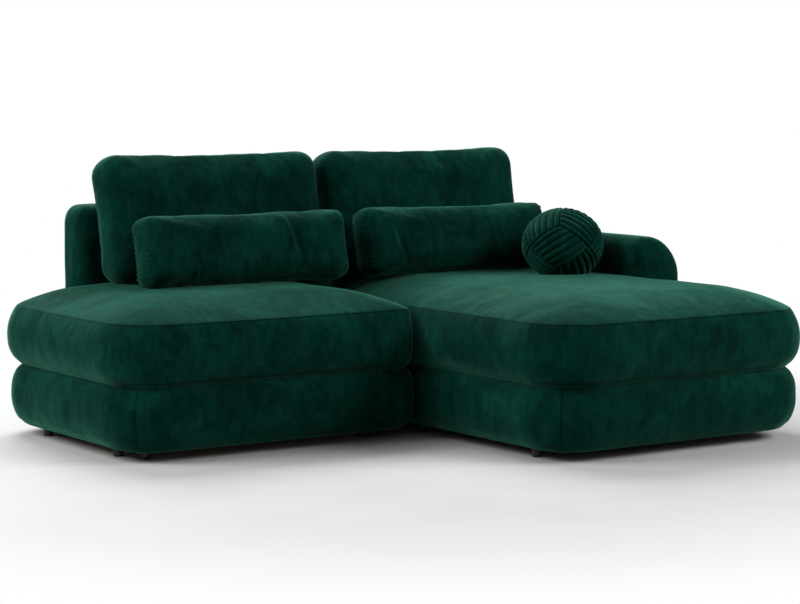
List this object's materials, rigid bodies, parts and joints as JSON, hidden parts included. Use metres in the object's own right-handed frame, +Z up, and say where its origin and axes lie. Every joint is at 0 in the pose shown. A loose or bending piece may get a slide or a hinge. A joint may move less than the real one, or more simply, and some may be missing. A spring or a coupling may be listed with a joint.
{
  "type": "corner_sofa_bed",
  "caption": "Corner sofa bed in deep green velvet: a seat and a longer chaise on padded bases, one arm, loose back, lumbar and ball cushions, and a slatted bed that pulls out.",
  "frame": {"origin": "on the floor under the middle of the whole sofa", "axes": "+X along the back from the left seat to the chaise and arm, +Y to the rear, +Z up"},
  "size_m": [2.096, 1.651, 0.892],
  "materials": {
    "velvet": "deep emerald velvet with a pale sheen at grazing angles",
    "foam": "open cell upholstery foam",
    "pine": "planed, unvarnished",
    "plywood": "sanded sheet",
    "birch": "sanded slats",
    "zinc_steel": "zinc plated",
    "black_plastic": "matt",
    "dust_cloth": "thin spun cloth"
  },
  "bodies": {
    "sofa_frame": {"left_base_side_pad": "velvet", "left_base_rear_pad": "velvet", "chaise_base_front_pad": "velvet", "chaise_base_right_pad": "velvet", "chaise_base_rear_pad": "velvet", "chaise_base_left_pad": "velvet", "left_base_inner_pad": "velvet", "left_seat_cover": "velvet", "chaise_seat_cover": "velvet", "left_back_cover": "velvet", "right_back_cover": "velvet", "arm_cover": "velvet", "left_seat_foam": "foam", "chaise_seat_foam": "foam", "left_base_outer_rail": "pine", "left_base_inner_rail": "pine", "left_base_rear_rail": "pine", "chaise_base_front_rail": "pine", "chaise_base_left_rail": "pine", "chaise_base_right_rail": "pine", "chaise_base_rear_rail": "pine", "chaise_base_cross_rails": "pine", "left_deck_side_rails": "pine", "left_deck_cross_rails": "pine", "chaise_deck_side_rails": "pine", "chaise_deck_cross_rails": "pine", "left_back_panel": "plywood", "right_back_panel": "plywood", "arm_panel": "plywood", "joining_bolts": "zinc_steel", "back_bolts": "zinc_steel", "arm_bolts": "zinc_steel", "left_seat_springs": "zinc_steel", "chaise_seat_springs": "zinc_steel", "runner_fixed_channels": "zinc_steel", "left_feet": "black_plastic", "chaise_feet": "black_plastic", "chaise_dust_cloth": "dust_cloth"},
    "pullout_bed": {"pullout_front_pad": "velvet", "pullout_front_board": "plywood", "pullout_side_bars": "pine", "pullout_rear_bar": "pine", "pullout_slats": "birch", "runner_inner_bars": "zinc_steel", "castor_forks": "zinc_steel", "castor_axles": "zinc_steel"},
    "runner_middles": {"runner_middle_channels": "zinc_steel"},
    "front_wheels": {"front_castor_wheels": "black_plastic"},
    "rear_wheels": {"rear_castor_wheels": "black_plastic"},
    "left_back_cushion": {"left_back_cushion_cover": "velvet", "left_back_cushion_core": "foam"},
    "right_back_cushion": {"right_back_cushion_cover": "velvet", "right_back_cushion_core": "foam"},
    "left_lumbar_cushion": {"left_lumbar_cushion_cover": "velvet", "left_lumbar_cushion_core": "foam"},
    "right_lumbar_cushion": {"right_lumbar_cushion_cover": "velvet", "right_lumbar_cushion_core": "foam"},
    "ball_cushion": {"ball_cushion_cover": "velvet", "ball_cushion_core": "foam"}
  },
  "joints": [
    {"name": "bed_pullout", "type": "slide", "parent": "sofa_frame", "child": "pullout_bed", "axis": [0, -1, 0], "range_m": [0, 0.65]},
    {"name": "runner_middle_slide", "type": "slide", "parent": "sofa_frame", "child": "runner_middles", "axis": [0, -1, 0], "range_m": [0, 0.33]},
    {"name": "front_wheel_roll", "type": "hinge", "parent": "pullout_bed", "child": "front_wheels", "pos_m": [-0.5165, 0.0205, 0.0358], "axis": [1, 0, 0], "continuous": true},
    {"name": "rear_wheel_roll", "type": "hinge", "parent": "pullout_bed", "child": "rear_wheels", "pos_m": [-0.5165, 0.5805, 0.0358], "axis": [1, 0, 0], "continuous": true},
    {"name": "left_back_cushion_lift", "type": "slide", "parent": "sofa_frame", "child": "left_back_cushion", "axis": [0, 0.2079, 0.9781], "range_m": [0, 0.4]},
    {"name": "left_lumbar_cushion_lift", "type": "slide", "parent": "sofa_frame", "child": "left_lumbar_cushion", "axis": [0, 0, 1], "range_m": [0, 0.35]},
    {"name": "right_back_cushion_lift", "type": "slide", "parent": "sofa_frame", "child": "right_back_cushion", "axis": [0, 0.2079, 0.9781], "range_m": [0, 0.4]},
    {"name": "right_lumbar_cushion_lift", "type": "slide", "parent": "sofa_frame", "child": "right_lumbar_cushion", "axis": [0, 0, 1], "range_m": [0, 0.35]},
    {"name": "ball_cushion_lift", "type": "slide", "parent": "sofa_frame", "child": "ball_cushion", "axis": [0, 0, 1], "range_m": [0, 0.35]}
  ],
  "couplings": [
    {"joint": "runner_middle_slide", "follows": "bed_pullout", "ratio": 0.5},
    {"joint": "front_wheel_roll", "follows": "bed_pullout", "rad_per_m": 28.571},
    {"joint": "rear_wheel_roll", "follows": "bed_pullout", "rad_per_m": 28.571}
  ]
}
